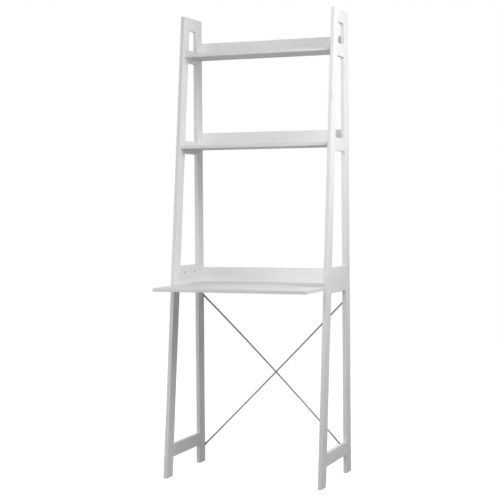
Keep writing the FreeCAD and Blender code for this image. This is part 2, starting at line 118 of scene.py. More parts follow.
def fill(node: bpy.types.Node, inputs: dict[int | str, Any] | Sequence[Any]) -> None:
    """Give the inputs of a node their values and links.

    Args:
        node: the node to fill.
        inputs: for each input, in order or under its place or name, a value, a node or
            socket to link from, or a list of such sources.
    """
    for key, sources in inputs.items() if isinstance(inputs, dict) else enumerate(inputs):
        if isinstance(key, int):
            socket = node.inputs[key]
        else:
            socket = next(s for s in node.inputs if s.name == key and s.enabled)
        for value in sources if isinstance(sources, list) else [sources]:
            if isinstance(value, bpy.types.Node):
                value = next(s for s in value.outputs if s.enabled)
            if isinstance(value, bpy.types.NodeSocket):
                node.id_data.links.new(value, socket)
            else:
                socket.default_value = value


def add_node(
    tree: bpy.types.NodeTree,
    kind: str,
    settings: dict[str, Any] | str | None = None,
    inputs: dict[int | str, Any] | Sequence[Any] = (),
) -> bpy.types.Node:
    """Add one node to a tree, with its settings, values and links.

    Args:
        tree: the node tree that gets the node.
        kind: Blender's name for the type of node.
        settings: properties of the node and their values, or its operation alone.
        inputs: what goes into it; see fill.

    Returns:
        The new node.
    """
    node = tree.nodes.new(kind)
    properties = {"operation": settings} if isinstance(settings, str) else settings or {}
    for name, value in properties.items():
        setattr(node, name, value)
    fill(node, inputs)
    return node


def stations(node: str, axis: int, gap: float = 4 * MM) -> list[tuple[float, float]]:
    """Find where the separate solids of a node lie along one axis.

    Args:
        node: name of the construction node.
        axis: 0, 1 or 2 for X, Y or Z.
        gap: empty length that parts one solid from the next.

    Returns:
        The (lowest, highest) coordinate of each group, in order.
    """
    values = sorted(vertex.co[axis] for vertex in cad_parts[node].data.vertices)
    groups = [[values[0], values[0]]]
    for value in values:
        if value - groups[-1][1] > gap:
            groups.append([value, value])
        groups[-1][1] = value
    return [(low, high) for low, high in groups]


def middles(node: str, axis: int) -> list[float]:
    """Give the middle of each group of solids of a node along one axis."""
    return [0.5 * (low + high) for low, high in stations(node, axis)]


def half_breadth(node: str, axis: int) -> float:
    """Give half the breadth of a node's first group of solids along one axis."""
    low, high = stations(node, axis)[0]
    return 0.5 * (high - low)


def smooth_step(share: float) -> float:
    """Ease a share from zero to one, flat at both ends."""
    held = min(max(share, 0.0), 1.0)
    return held * held * (3 - 2 * held)


# --- geometry node trees -----------------------------------------------------
@dataclass
class GeometryTree:
    """A Geometry Nodes tree with named inputs, run once for each piece."""

    name: str
    sockets: dict[str, str]
    tree: bpy.types.NodeTree = field(init=False)
    given: bpy.types.Node = field(init=False)
    add: NodeAdder = field(init=False)  # add_node for this tree

    def __post_init__(self) -> None:
        """Make the tree's own inputs and its output."""
        self.tree = bpy.data.node_groups.new(self.name, "GeometryNodeTree")
        for name, kind in {"Geometry": "Geometry", **self.sockets, "Material": "Material"}.items():
            self.tree.interface.new_socket(name, in_out="INPUT", socket_type=f"NodeSocket{kind}")
        self.tree.interface.new_socket("Geometry", in_out="OUTPUT", socket_type="NodeSocketGeometry")
        self.add = partial(add_node, self.tree)
        self.given = self.add("NodeGroupInput")

    def close(self, mesh: bpy.types.Node, crease_degrees: float) -> None:
        """End the tree: real geometry, smooth but for its creases, with its material.

        Args:
            mesh: the node whose geometry is the result.
            crease_degrees: edges that turn by more than this stay sharp.
        """
        add, smooth = self.add, "GeometryNodeSetShadeSmooth"
        real = add("GeometryNodeRealizeInstances", None, [mesh])
        merged = add("GeometryNodeMergeByDistance", None, {"Geometry": real, "Distance": WELD})
        angle = add("GeometryNodeInputMeshEdgeAngle")
        less = {"data_type": "FLOAT", "operation": "LESS_THAN"}
        soft = add("FunctionNodeCompare", less, [angle, math.radians(crease_degrees)])
        faces = add(smooth, {"domain": "FACE"}, {"Geometry": merged})
        edges = add(smooth, {"domain": "EDGE"}, {"Geometry": faces, "Shade Smooth": soft})
        material = self.given.outputs["Material"]
        dressed = add("GeometryNodeSetMaterial", None, {"Geometry": edges, "Material": material})
        add("NodeGroupOutput", None, [dressed])

    def run(
        self,
        name: str,
        values: dict[str, Any],
        points: Iterable[Sequence[float]],
        edges: Sequence[tuple[int, int]] = (),
        attributes: dict[str, Sequence[float]] | None = None,
    ) -> bpy.types.Object:
        """Make a piece: run the tree over some points and keep the plain mesh.

        Args:
            name: name of the new object.
            values: a value for each named input, the material among them.
            points: places of the mesh that the tree starts from.
            edges: pairs of points that are joined by an edge.
            attributes: for each attribute's name, one number for each point.

        Returns:
            An object with a plain mesh, at the origin.
        """
        start = bpy.data.meshes.new(f"{name}_points")
        start.from_pydata([tuple(point) for point in points], list(edges), [])
        for attribute, numbers in (attributes or {}).items():
            start.attributes.new(attribute, "FLOAT", "POINT").data.foreach_set("value", list(numbers))
        piece = bpy.data.objects.new(name, start)
        bpy.context.scene.collection.objects.link(piece)
        modifier = piece.modifiers.new(self.name, "NODES")
        modifier.node_group = self.tree
        for item in self.tree.interface.items_tree:
            if item.in_out == "INPUT" and item.name in values:
                modifier[item.identifier] = values[item.name]
        evaluated = piece.evaluated_get(bpy.context.evaluated_depsgraph_get())
        mesh = bpy.data.meshes.new_from_object(evaluated)
        mesh.name = name
        piece.modifiers.remove(modifier)
        piece.data = mesh
        bpy.data.meshes.remove(start)
        return piece


def eased_bar_tree() -> GeometryTree:
    """Make the tree of a straight bar or board with rounded edges and bored holes.

    The bar is a cube of a few rows, whose outer rows lie on the rounding of each edge and
    whose next row, at the rim, keeps the flat faces flat. Its front leans with height, and
    its back leans too unless Taper is one. A hole is bored at each point that comes in.

    Returns:
        The tree, whose points are the mouths of the holes.
    """
    bar = GeometryTree("eased_bar", {
        "Low": "Vector", "High": "Vector", "Ease Low": "Vector", "Ease High": "Vector",
        "Rim": "Float", "Steps": "Int", "Lean": "Float", "Taper": "Float", "Tone": "Float",
        "Bore Mouth": "Float", "Bore End": "Float", "Bore Depth": "Float", "Bore Turn": "Vector",
    })
    add, given = bar.add, bar.given.outputs
    rows = add(MATH, "MULTIPLY_ADD", [given["Steps"], 2.0, 3.0])
    points = add(MATH, "ADD", [rows, 1.0])
    cube = add("GeometryNodeMeshCube", None, [ONES, points, points, points])

    # Each point's row, counted from the nearest face, and the way out of the rounding there.
    place = add(POSITION)
    side = add(VECTOR, "SIGN", [place])
    from_face = add(VECTOR, "SUBTRACT", [HALVES, add(VECTOR, "ABSOLUTE", [place])])
    row = add(VECTOR, "SCALE", {0: from_face, 3: rows})
    per_step = add(MATH, "DIVIDE", [1.0, given["Steps"]])
    turned = add(VECTOR, "SUBTRACT", [ONES, add(VECTOR, "SCALE", {0: row, 3: per_step})])
    held = add(VECTOR, "MAXIMUM", [turned, ZEROS])
    tangent = add(VECTOR, "TANGENT", [add(VECTOR, "SCALE", {0: held, 3: 0.5 * QUARTER_TURN})])
    outward = add(VECTOR, "NORMALIZE", [add(VECTOR, "MULTIPLY", [side, tangent])])
    past_steps = add(VECTOR, "SUBTRACT", [row, given["Steps"]])
    rim_row = add(VECTOR, "MAXIMUM", [past_steps, ZEROS])

    # The upright bar: centre, flat core, rim and rounding.
    is_high = add(VECTOR, "MULTIPLY_ADD", [side, HALVES, HALVES])
    ease = add(
        MIX, {"data_type": "VECTOR", "factor_mode": "NON_UNIFORM"},
        {"Factor": is_high, "A": given["Ease Low"], "B": given["Ease High"]},
    )
    span = add(VECTOR, "SUBTRACT", [given["High"], given["Low"]])
    half = add(VECTOR, "SCALE", {0: span, 3: 0.5})
    corners = add(VECTOR, "ADD", [given["High"], given["Low"]])
    centre = add(VECTOR, "SCALE", {0: corners, 3: 0.5})
    flat = add(VECTOR, "SUBTRACT", [half, ease])
    core = add(VECTOR, "SUBTRACT", [flat, add(VECTOR, "SCALE", {0: rim_row, 3: given["Rim"]})])
    upright = add(VECTOR, "MULTIPLY_ADD", [side, core, centre])
    rounded = add(VECTOR, "MULTIPLY_ADD", [outward, ease, upright])

    # The lean, full at the front and, with Taper, none at the back.
    low, high, here = (add(SEPARATE, None, [xyz]).outputs for xyz in (given["Low"], given["High"], rounded))
    rise = add(MATH, "SUBTRACT", [here["Z"], low["Z"]])
    to_back = add(MATH, "SUBTRACT", [high["Y"], here["Y"]])
    depth = add(MATH, "SUBTRACT", [high["Y"], low["Y"]])
    share = add(
        MIX, {"data_type": "FLOAT", "clamp_factor": True},
        {"Factor": given["Taper"], "A": 1.0, "B": add(MATH, "DIVIDE", [to_back, depth])},
    )
    shift = add(MATH, "MULTIPLY", [add(MATH, "MULTIPLY", [rise, given["Lean"]]), share])
    leaning = add(VECTOR, "ADD", [rounded, add(COMBINE, None, {"Y": shift})])

    # Wear is one on the edges and fades over the next rows.
    wear_step = add(MATH, "DIVIDE", [1.0, add(MATH, "ADD", [given["Steps"], 1.0])])
    near = add(VECTOR, "SUBTRACT", [ONES, add(VECTOR, "SCALE", {0: row, 3: wear_step})])
    near = add(VECTOR, "MAXIMUM", [near, ZEROS])
    summed = add(VECTOR, "DOT_PRODUCT", [near, ONES])
    wear = add(MATH, {"operation": "SUBTRACT", "use_clamp": True}, [summed.outputs["Value"], 1.0])
    captured = add("GeometryNodeCaptureAttribute", None, {"Geometry": cube})
    captured.capture_items.new("FLOAT", "Wear")
    fill(captured, {"Wear": wear})
    shaped = add(SET_POSITION, None, {"Geometry": captured, "Position": leaning})
    worn = add(
        "GeometryNodeStoreNamedAttribute", POINT_FLOAT,
        {"Geometry": shaped, "Name": "wear", "Value": captured.outputs["Wear"]},
    )

    drill = add("GeometryNodeMeshCone", None, {
        "Vertices": HOLE_SIDES, "Radius Bottom": given["Bore Mouth"], "Radius Top": given["Bore End"],
        "Depth": given["Bore Depth"],
    })
    turn = add("FunctionNodeEulerToRotation", None, [given["Bore Turn"]])
    drills = add(
        "GeometryNodeInstanceOnPoints", None,
        {"Points": given["Geometry"], "Instance": drill, "Rotation": turn},
    )
    cutters = add("GeometryNodeRealizeInstances", None, [drills])
    bored = add(BOOLEAN, CUT_AWAY, {"Mesh 1": worn, "Mesh 2": cutters})
    size = add("GeometryNodeAttributeDomainSize", None, [given["Geometry"]])
    chosen = add(
        "GeometryNodeSwitch", {"input_type": "GEOMETRY"},
        {"Switch": size.outputs["Point Count"], "False": worn, "True": bored},
    )
    toned = add(
        "GeometryNodeStoreNamedAttribute", POINT_FLOAT,
        {"Geometry": chosen, "Name": "tone", "Value": given["Tone"]},
    )
    bar.close(toned, crease_degrees=40.0)
    return bar


class Recess(Enum):
    """What a tool turns a fastener by."""

    CROSS = 0
    HEXAGON = 1
    SLOT = 2


def fastener_tree() -> GeometryTree:
    """Make the tree of a fastener: a round head, a shank and a recess, at each point.

    Its own axis is Z: the head stands on z = 0 and the shank hangs below it.

    Returns:
        The tree, whose points are the seats under the heads.
    """
    part = GeometryTree("fastener", {
        "Head Bottom": "Float", "Head Top": "Float", "Head Height": "Float", "Dome": "Float",
        "Shank Radius": "Float", "Shank Length": "Float", "Recess": "Int", "Recess Length": "Float",
        "Recess Width": "Float", "Recess Depth": "Float", "Turn": "Vector", "Spin": "Float",
        "Seed": "Int",
    })
    add, given = part.add, part.given.outputs
    head = add("GeometryNodeMeshCone", {"fill_type": "TRIANGLE_FAN"}, {
        "Vertices": HEAD_SIDES, "Side Segments": HEAD_SIDE_ROWS, "Fill Segments": HEAD_TOP_RINGS,
        "Radius Bottom": given["Head Bottom"], "Radius Top": given["Head Top"],
        "Depth": given["Head Height"],
    })
    place = add(SEPARATE, None, [add(POSITION)]).outputs
    level = add(COMBINE, None, {"X": place["X"], "Y": place["Y"]})
    radius = add(VECTOR, "LENGTH", [level])
    out = add(MATH, "DIVIDE", [radius.outputs["Value"], given["Head Top"]])
    fall = add(MATH, "MULTIPLY", [add(MATH, "POWER", [out, DOME_POWER]), given["Dome"]])
    drop = add(MATH, "MULTIPLY", [add(MATH, "MULTIPLY", [fall, place["Z"]]), -1.0])
    domed = add(SET_POSITION, None, {"Geometry": head, "Offset": add(COMBINE, None, {"Z": drop})})

    deep = add(MATH, "MULTIPLY", [given["Recess Depth"], 2.0])
    slot_size = add(COMBINE, None, [given["Recess Length"], given["Recess Width"], deep])
    slot = add("GeometryNodeMeshCube", None, [slot_size])
    crossed = add(TRANSFORM, None, {"Geometry": slot, "Rotation": (0.0, 0.0, QUARTER_TURN)})
    cross = add("GeometryNodeJoinGeometry", None, [[slot, crossed]])
    corner_radius = add(MATH, "MULTIPLY", [given["Recess Length"], 0.5])
    hexagon = add(CYLINDER, None, {"Vertices": HEXAGON_SIDES, "Radius": corner_radius, "Depth": deep})
    tool = add("GeometryNodeIndexSwitch", {"data_type": "GEOMETRY"}, {"Index": given["Recess"]})
    tool.index_switch_items.new()
    for option, shape in ((Recess.CROSS, cross), (Recess.HEXAGON, hexagon), (Recess.SLOT, slot)):
        fill(tool, {1 + option.value: shape})
    raised = add(COMBINE, None, {"Z": given["Head Height"]})
    cutter = add(TRANSFORM, None, {"Geometry": tool, "Translation": raised})
    cut = add(BOOLEAN, CUT_AWAY, {"Mesh 1": domed, "Mesh 2": cutter, "Self Intersection": True})

    shank = add(
        CYLINDER, None,
        {"Vertices": SHANK_SIDES, "Radius": given["Shank Radius"], "Depth": given["Shank Length"]},
    )
    lowered = add(COMBINE, None, {"Z": add(MATH, "MULTIPLY", [given["Shank Length"], -0.5])})
    hung = add(TRANSFORM, None, {"Geometry": shank, "Translation": lowered})
    has_shank = add(
        "FunctionNodeCompare", {"data_type": "FLOAT", "operation": "GREATER_THAN"},
        [given["Shank Length"], 0.0],
    )
    kept = add("GeometryNodeSwitch", {"input_type": "GEOMETRY"}, {"Switch": has_shank, "True": hung})
    whole = add("GeometryNodeJoinGeometry", None, [[cut, kept]])

    turn = add("FunctionNodeEulerToRotation", None, [given["Turn"]])
    set_in = add(
        "GeometryNodeInstanceOnPoints", None,
        {"Points": given["Geometry"], "Instance": whole, "Rotation": turn},
    )
    least = add(MATH, "MULTIPLY", [given["Spin"], -1.0])
    chance = add(
        "FunctionNodeRandomValue", {"data_type": "FLOAT"},
        {"Min": least, "Max": given["Spin"], "Seed": given["Seed"]},
    )
    about_axis = add(COMBINE, None, {"Z": chance})
    spun = add("GeometryNodeRotateInstances", None, {"Instances": set_in, "Rotation": about_axis})
    part.close(spun, crease_degrees=35.0)
    return part


def swept_rod_tree() -> GeometryTree:
    """Make the tree of a rod along a line, pressed flat and pierced at its ends.

    Each point of the line brings its half width, its half height and how square its
    section is. The height is along Y.

    Returns:
        The tree, whose joined points are the rod's centre line.
    """
    rod = GeometryTree("swept_rod", {
        "Across": "Vector", "First Eye": "Vector", "Last Eye": "Vector", "Hole Radius": "Float",
        "Hole Depth": "Float",
    })
    add, given = rod.add, rod.given.outputs
    line = add("GeometryNodeMeshToCurve", None, [given["Geometry"]])
    centre = add("GeometryNodeCaptureAttribute", {"domain": "POINT"}, {"Geometry": line})
    centre.capture_items.new("VECTOR", "Centre")
    fill(centre, {"Centre": add(POSITION)})
    unit = add("GeometryNodeCurvePrimitiveCircle", None, {"Resolution": SHANK_SIDES, "Radius": 1.0})
    swept = add(
        "GeometryNodeCurveToMesh", None, {"Curve": centre, "Profile Curve": unit, "Fill Caps": True}
    )
    offset = add(VECTOR, "SUBTRACT", [add(POSITION), centre.outputs["Centre"]])
    half_width, half_height, power = (
        add("GeometryNodeInputNamedAttribute", {"data_type": "FLOAT"}, {"Name": name})
        for name in ROD_SECTION
    )
    moved: Any = centre.outputs["Centre"]
    for direction, reach in ((given["Across"], half_width), ((0.0, 1.0, 0.0), half_height)):
        along = add(VECTOR, "DOT_PRODUCT", [offset, direction]).outputs["Value"]
        size = add(MATH, "POWER", [add(MATH, "ABSOLUTE", [along]), power])
        signed = add(MATH, "MULTIPLY", [size, add(MATH, "SIGN", [along])])
        length = add(MATH, "MULTIPLY", [signed, reach])
        moved = add(VECTOR, "ADD", [moved, add(VECTOR, "SCALE", {0: direction, 3: length})])
    pressed = add(SET_POSITION, None, {"Geometry": swept, "Position": moved})
    result = add("GeometryNodeMergeByDistance", None, {"Geometry": pressed, "Distance": ROD_WELD})
    pin = add(
        CYLINDER, None,
        {"Vertices": EYE_HOLE_SIDES, "Radius": given["Hole Radius"], "Depth": given["Hole Depth"]},
    )
    for eye in (given["First Eye"], given["Last Eye"]):
        set_in = add(
            TRANSFORM, None, {"Geometry": pin, "Translation": eye, "Rotation": (QUARTER_TURN, 0.0, 0.0)}
        )
        result = add(BOOLEAN, CUT_AWAY, {"Mesh 1": result, "Mesh 2": set_in})
    rod.close(result, crease_degrees=50.0)
    return rod


# --- finishes ----------------------------------------------------------------
class Grain(Enum):
    """The way the grain of a timber member runs."""

    ACROSS = 0
    DEPTH = 1
    UPRIGHT = 2


# The values that a noise mostly stays between.
NOISE_SPAN = (0.3, 0.7)


def start_material(name: str) -> tuple[bpy.types.Material, NodeAdder, bpy.types.NodeSocket]:
    """Start a node material.

    Args:
        name: the material's name.

    Returns:
        The material, add_node for its tree, and the socket of the object's own coordinates.
    """
    material = bpy.data.materials.new(name)
    material.use_nodes = True
    add = partial(add_node, material.node_tree)
    return material, add, add("ShaderNodeTexCoord").outputs["Object"]


@dataclass(frozen=True)
class Lacquer:
    """White satin lacquer, sprayed and sanded between coats.

    To the eye it is an even soft white with a low sheen. Over solid wood the grain shows
    through as long faint ridges; over fibreboard only the spray's orange peel is left. On
    the arrises the coat is thin and the cream primer warms it. A matter coat on the shelves
    keeps their undersides dark where the eye looks along them.
    """

    name: str
    grain: Grain
    colour: str = "#F2F2F2"
    shade: str = "#E9E9E9"
    primer: str = "#E3E1DC"
    ior: float = 1.46
    roughness: float = 0.47
    specular_level: float = 0.5
    roughness_spread: float = 0.07
    grain_depth_mm: float = 0.03
    grain_shade: float = 0.3
    grain_noise_span: tuple[float, float] = (0.35, 0.75)
    # The real ridges are 1 to 2 mm apart; they are drawn coarser, so that they show.
    grain_spacing_mm: float = 7.0
    grain_length_mm: float = 420.0
    peel_spacing_mm: float = 5.0
    peel_depth_mm: float = 0.012
    mottle_mm: float = 140.0
    rub_noise_span: tuple[float, float] = (0.3, 0.8)
    rub_through: tuple[float, float] = (0.1, 0.75)

    def build(self) -> bpy.types.Material:
        """Make the node material.

        Returns:
            The material, whose patterns follow the object's own coordinates.
        """
        material, add, where = start_material(self.name)
        tone = add("ShaderNodeAttribute", {"attribute_name": "tone"}).outputs["Fac"]
        wear = add("ShaderNodeAttribute", {"attribute_name": "wear"}).outputs["Fac"]
        apart = add(VECTOR, "ADD", [where, tone])
        scale = [per_metre(self.grain_spacing_mm)] * 3
        scale[self.grain.value] = per_metre(self.grain_length_mm)
        stretched = add("ShaderNodeMapping", None, {"Vector": apart, "Scale": tuple(scale)})
        ridges = add(
            NOISE, None, {"Vector": stretched, "Scale": 1.0, "Detail": 4.0, "Roughness": 0.6}
        )
        peel, mottle = (
            add(NOISE, None, {"Vector": apart, "Scale": per_metre(size), "Detail": detail})
            for size, detail in ((self.peel_spacing_mm, 2.0), (self.mottle_mm, 3.0))
        )
        streak = add(MAP_RANGE, None, [ridges, *self.grain_noise_span, 0.0, self.grain_shade])
        coat = add(
            MIX, {"data_type": "RGBA"},
            {"Factor": streak, "A": linear(self.colour), "B": linear(self.shade)},
        )
        rub = add(MAP_RANGE, None, [peel, *self.rub_noise_span, *self.rub_through])
        thin = add(MATH, "MULTIPLY", [wear, rub])
        colour = add(
            MIX, {"data_type": "RGBA"}, {"Factor": thin, "A": coat, "B": linear(self.primer)}
        )
        least, most = self.roughness - self.roughness_spread, self.roughness + self.roughness_spread
        sheen = add(MAP_RANGE, None, [mottle, *NOISE_SPAN, least, most])
        ridged = add(BUMP, None, {"Height": ridges, "Distance": self.grain_depth_mm * MM})
        peeled = add(
            BUMP, None, {"Height": peel, "Distance": self.peel_depth_mm * MM, "Normal": ridged}
        )
        shader = material.node_tree.nodes["Principled BSDF"]
        fill(shader, {
            "Base Color": colour, "Roughness": sheen, "Normal": peeled, "IOR": self.ior,
            "Specular IOR Level": self.specular_level,
        })
        return material


@dataclass(frozen=True)
class Metal:
    """A plated or cast metal, dull from handling.

    To the eye it is a cloudy grey of small patches, with a fine unevenness that makes it
    duller in some places than in others, and shallow dimples left by the plating bath or
    the mould.
    """

    name: str
    colour: str
    patch_colour: str
    roughness: float
    roughness_spread: float
    patch_mm: float
    dimple_mm: float
    dimple_depth_mm: float

    def build(self) -> bpy.types.Material:
        """Make the node material.

        Returns:
            The material, whose patterns follow the object's own coordinates.
        """
        material, add, where = start_material(self.name)
        patches = add(
            "ShaderNodeTexVoronoi", None, {"Vector": where, "Scale": per_metre(self.patch_mm)}
        )
        dimples = add(
            NOISE, None, {"Vector": where, "Scale": per_metre(self.dimple_mm), "Detail": 3.0}
        )
        colour = add(
            MIX, {"data_type": "RGBA"},
            {"Factor": patches, "A": linear(self.colour), "B": linear(self.patch_colour)},
        )
        least, most = self.roughness - self.roughness_spread, self.roughness + self.roughness_spread
        dull = add(MAP_RANGE, None, [dimples, *NOISE_SPAN, least, most])
        bump = add(BUMP, None, {"Height": dimples, "Distance": self.dimple_depth_mm * MM})
        shader = material.node_tree.nodes["Principled BSDF"]
        fill(shader, {"Base Color": colour, "Roughness": dull, "Normal": bump, "Metallic": 1.0})
        return material


@dataclass(frozen=True)
class Beech:
    """Turned beech, bare: a pale pinkish tan with fine darker flecks along the grain."""

    name: str = "turned_beech"
    colour: str = "#D9B88C"
    fleck: str = "#B98F63"
    fleck_mm: float = 1.2
    fleck_length_mm: float = 9.0
    roughness: float = 0.62
    pore_depth_mm: float = 0.03

    def build(self) -> bpy.types.Material:
        """Make the node material.

        Returns:
            The material, whose patterns follow the object's own coordinates.
        """
        material, add, where = start_material(self.name)
        across, along = per_metre(self.fleck_mm), per_metre(self.fleck_length_mm)
        stretched = add(
            "ShaderNodeMapping", None, {"Vector": where, "Scale": (along, across, across)}
        )
        flecks = add(NOISE, None, {"Vector": stretched, "Scale": 1.0, "Detail": 3.0})
        colour = add(
            MIX, {"data_type": "RGBA"},
            {"Factor": flecks, "A": linear(self.colour), "B": linear(self.fleck)},
        )
        bump = add(BUMP, None, {"Height": flecks, "Distance": self.pore_depth_mm * MM})
        shader = material.node_tree.nodes["Principled BSDF"]
        fill(shader, {"Base Color": colour, "Roughness": self.roughness, "Normal": bump})
        return material


class Finish(Enum):
    """Every finish of the desk."""

    RAIL_WOOD = Lacquer("lacquered_wood_depth", Grain.DEPTH)
    POST_WOOD = Lacquer("lacquered_wood_upright", Grain.UPRIGHT)
    DESK = Lacquer(
        "lacquered_fibreboard", Grain.ACROSS, grain_depth_mm=0.01, grain_shade=0.2, grain_spacing_mm=16.0
    )
    SHELF = Lacquer(
        "matt_lacquered_fibreboard", Grain.ACROSS, roughness=0.62, specular_level=0.1,
        grain_depth_mm=0.01, grain_shade=0.2, grain_spacing_mm=16.0,
    )
    # The back rails get a whiter copy of the frames' lacquer: painted light, standing in for the brighter
    # light that falls on them.
    BACK_RAIL = Lacquer(
        "lacquered_back_rail_wood", Grain.ACROSS, colour="#FAFAFA", shade="#F2F2F2", grain_spacing_mm=9.0
    )
    BEECH = Beech()
    ZINC_PLATE = Metal(
        "zinc_plated_steel", "#C9CBCE", "#B4B7BA", roughness=0.32, roughness_spread=0.08,
        patch_mm=2.5, dimple_mm=0.8, dimple_depth_mm=0.01,
    )
    CAST_ZINC = Metal(
        "die_cast_zinc", "#A9ABAD", "#8F9294", roughness=0.5, roughness_spread=0.08,
        patch_mm=3.0, dimple_mm=1.2, dimple_depth_mm=0.02,
    )
    # The plating's real mottle is under a millimetre; it is drawn coarser, so that it shows.
    ROD_PLATE = Metal(
        "drawn_nickel_grey_plated_steel", "#868788", "#7E7F80", roughness=0.46, roughness_spread=0.03,
        patch_mm=9.0, dimple_mm=6.0, dimple_depth_mm=0.003,
    )


# --- construction kit shared by the sub-assemblies ---------------------------
@dataclass
class Workshop:
    """The trees and finishes that every sub-assembly is made with."""

    bar: GeometryTree = field(default_factory=eased_bar_tree)
    fastener: GeometryTree = field(default_factory=fastener_tree)
    rod: GeometryTree = field(default_factory=swept_rod_tree)
    materials: dict[Finish, bpy.types.Material] = field(
        default_factory=lambda: {finish: finish.value.build() for finish in Finish}
    )
    tone_step: float = 0.37
    toned: int = 0

    def put(self, part: "Bar | Fastener | Rod", tree: GeometryTree, *points: Any) -> None:
        """Make a piece and put it in the place of its construction node.

        Args:
            part: the piece's node, coat, slot and finish, and, in the fields that are named
                like them, the tree's inputs: head_top is Head Top.
            tree: the tree that makes it.
            points: what the tree's run takes after the values.
        """
        values = {name.replace("_", " ").title(): value for name, value in vars(part).items()}
        values["Material"] = self.materials[part.finish]
        piece = tree.run(f"{part.coat}_{part.node}", values, *points)
        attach(piece, BODY)
        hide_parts(part.node)
        log.info("%s stands for %s, %d faces", piece.name, part.node, len(piece.data.polygons))

    def tone(self) -> float:
        """Give the next piece its own place in the patterns."""
        self.toned += 1
        return self.tone_step * self.toned

    def dress(self, node: str, finish: Finish) -> None:
        """Give a construction node that stays as it is its finish.

        Args:
            node: name of the construction node.
            finish: the finish that it gets.
        """
        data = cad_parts[node].data
        data.materials.clear()
        data.materials.append(self.materials[finish])
        log.info("%s keeps its shape, in %s", node, finish.value.name)


@dataclass
class Bar:
    """A straight member or board with rounded edges, and bores at their mouths."""

    node: str
    finish: Finish
    low: Vector
    high: Vector
    ease_low: Triple
    ease_high: Triple
    rim: float
    steps: int
    tone: float
    lean: float = 0.0
    taper: float = 0.0
    mouths: Sequence[Vector] = ()
    bore_mouth: float = 1.0 * MM
    bore_end: float = 1.0 * MM
    bore_depth: float = 1.0 * MM
    bore_turn: Triple = ZEROS
    coat: str = "lacquered"
    slot: str = "lacquered_board"


@dataclass
class Fastener:
    """A kind of fastener, turned from Z up and spun a little by chance."""

    node: str
    turn: Triple
    head_bottom: float
    head_top: float
    head_height: float
    seed: int
    dome: float = 0.0
    shank_radius: float = 1.0 * MM
    shank_length: float = 0.0
    recess: int = Recess.CROSS.value
    recess_length: float = 4.4 * MM
    recess_width: float = 1.0 * MM
    recess_depth: float = 1.5 * MM
    spin: float = math.pi
    finish: Finish = Finish.ZINC_PLATE
    coat: str = "plated"
    slot: str = "zinc_steel"


@dataclass
class Rod:
    """A rod with an eye at each end, along a line of points."""

    node: str
    across: Vector
    first_eye: Vector
    last_eye: Vector
    hole_radius: float
    hole_depth: float
    finish: Finish = Finish.ROD_PLATE
    coat: str = "plated"
    slot: str = "rod_steel"


# --- side frames -------------------------------------------------------------
# Members of the upper frame that stand on the lower one, and those that carry them.
STANDING = ("upper_front_stile", "upper_rear_stile", "upper_base_rail")
CARRYING = ("front_leg", "rear_leg", "desk_rail")


